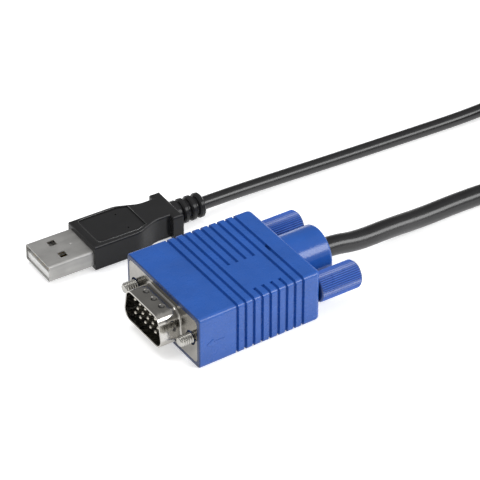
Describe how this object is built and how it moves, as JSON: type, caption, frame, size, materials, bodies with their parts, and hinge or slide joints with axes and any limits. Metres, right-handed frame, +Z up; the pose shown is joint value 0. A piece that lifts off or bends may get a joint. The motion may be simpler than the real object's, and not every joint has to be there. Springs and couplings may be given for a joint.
{
  "type": "crash cart adapter",
  "caption": "Crash cart adapter: a plain box with a captive video lead ending in a hooded D-sub plug with thumbscrews and a thin lead ending in a USB plug, both coiled and tied.",
  "frame": {"origin": "middle of the two jackscrews on the video plug's mating face", "axes": "+X out of the plug's rear along the lead towards the box, +Y from the video plug towards the USB plug, +Z up"},
  "size_m": [0.3512, 0.0757, 0.0212],
  "materials": {
    "hood_blue": "fine satin moulding",
    "knob_blue": "knurled moulding",
    "nickel": "nickel-plated sheet",
    "screw_steel": "bright plated",
    "pin_metal": "bright plated",
    "contact_gold": "bright plated",
    "insulator_black": "matte",
    "tongue_white": "matte",
    "inner_mould": "matte",
    "plug_black": "soft satin",
    "cord_black": "satin jacket",
    "tie_black": "hook and loop strap",
    "case_black": "fine texture",
    "board_green": "coated board",
    "chip_black": "matte",
    "foot_rubber": "matte"
  },
  "bodies": {
    "root": {"vga_hood": "hood_blue", "vga_front_shell": "nickel", "vga_back_shell": "nickel", "vga_insulator": "insulator_black", "vga_pins": "pin_metal", "vga_inner_mould": "inner_mould", "usb_shell": "nickel", "usb_tongue": "tongue_white", "usb_contacts": "contact_gold", "usb_inner_mould": "inner_mould", "usb_overmould": "plug_black", "vga_cord_lead": "cord_black", "vga_cord_coil": "cord_black", "vga_cord_tail": "cord_black", "vga_coil_tie": "tie_black", "usb_cord_lead": "cord_black", "usb_cord_coil": "cord_black", "usb_cord_tail": "cord_black", "usb_coil_tie": "tie_black", "case_lower_shell": "case_black", "case_upper_shell": "case_black", "case_screws": "screw_steel", "rubber_feet": "foot_rubber", "circuit_board": "board_green", "board_chips": "chip_black", "mini_usb_socket": "nickel", "usb_cord_gland": "plug_black", "vga_cord_gland": "plug_black"},
    "left_thumbscrew": {"left_thumbscrew_knob": "knob_blue", "left_thumbscrew_screw": "screw_steel"},
    "right_thumbscrew": {"right_thumbscrew_knob": "knob_blue", "right_thumbscrew_screw": "screw_steel"}
  },
  "joints": [
    {"name": "left_thumbscrew_turn", "type": "hinge", "parent": "root", "child": "left_thumbscrew", "pos_m": [0.035, 0.01249, 0], "axis": [1, 0, 0], "continuous": true},
    {"name": "right_thumbscrew_turn", "type": "hinge", "parent": "root", "child": "right_thumbscrew", "pos_m": [0.035, -0.01249, 0], "axis": [1, 0, 0], "continuous": true}
  ]
}
